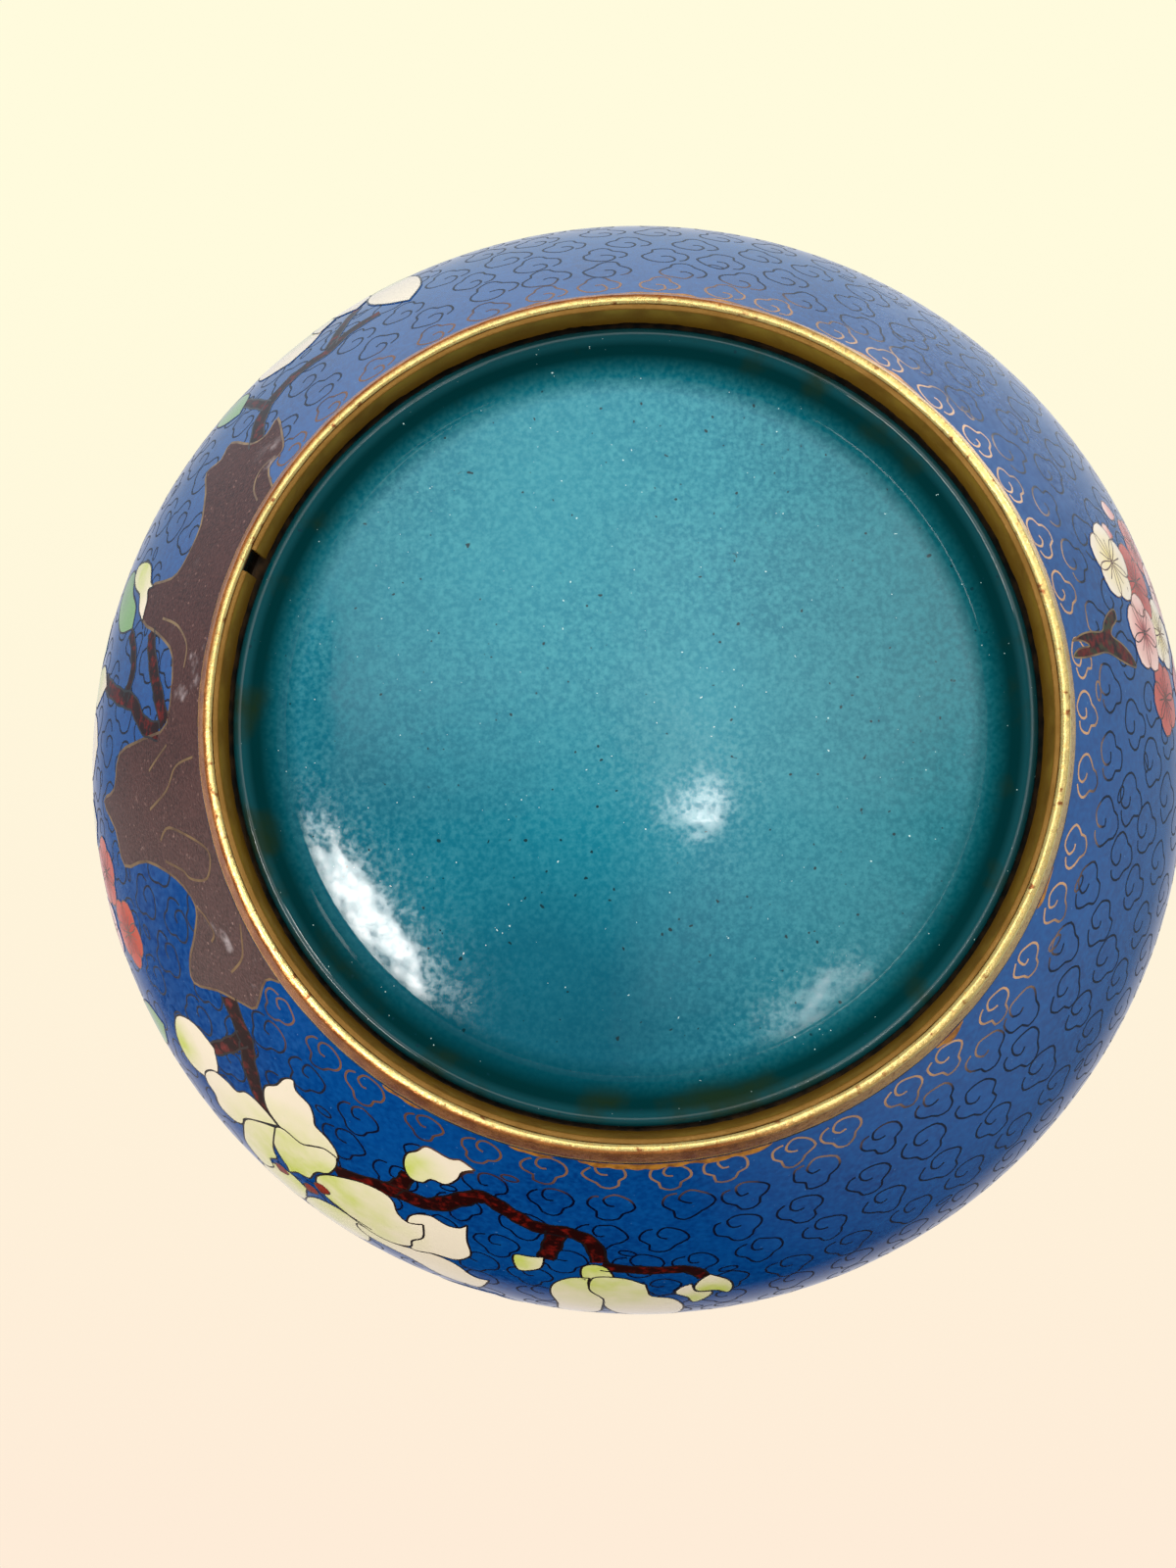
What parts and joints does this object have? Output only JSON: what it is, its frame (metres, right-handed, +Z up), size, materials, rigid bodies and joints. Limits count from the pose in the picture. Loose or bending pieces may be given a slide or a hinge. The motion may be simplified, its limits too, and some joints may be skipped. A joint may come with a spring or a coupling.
{
  "type": "cloisonne bowl",
  "caption": "Squat round cloisonne bowl with an incurved mouth, blue cloud-scroll ground, enamel lining and a low brass foot ring round a recessed enamel base.",
  "frame": {"origin": "the middle of the foot ring, on the surface the bowl stands on", "axes": "+Z up the bowl's axis to its mouth, +X to the picture's right when the foot is looked at, +Y to the picture's lower edge"},
  "size_m": [0.208, 0.208, 0.092],
  "materials": {
    "cloisonne_enamel": "polished cobalt enamel with flush wires, magnolia and prunus branches, on copper",
    "lining_enamel": "glossy turquoise enamel, faintly mottled",
    "base_enamel": "glossy mottled turquoise enamel with fine pits and brown stains near its edge",
    "gilt_brass": "worn gilt brass with copper showing at the edges",
    "dull_brass": "dull brown brass strip, ragged at its inner edge"
  },
  "bodies": {
    "root": {"vessel": "cloisonne_enamel", "enamel_lining": "lining_enamel", "base_enamel": "base_enamel", "foot_ring": "gilt_brass", "foot_inner_strip": "dull_brass", "mouth_band": "gilt_brass"}
  },
  "joints": []
}
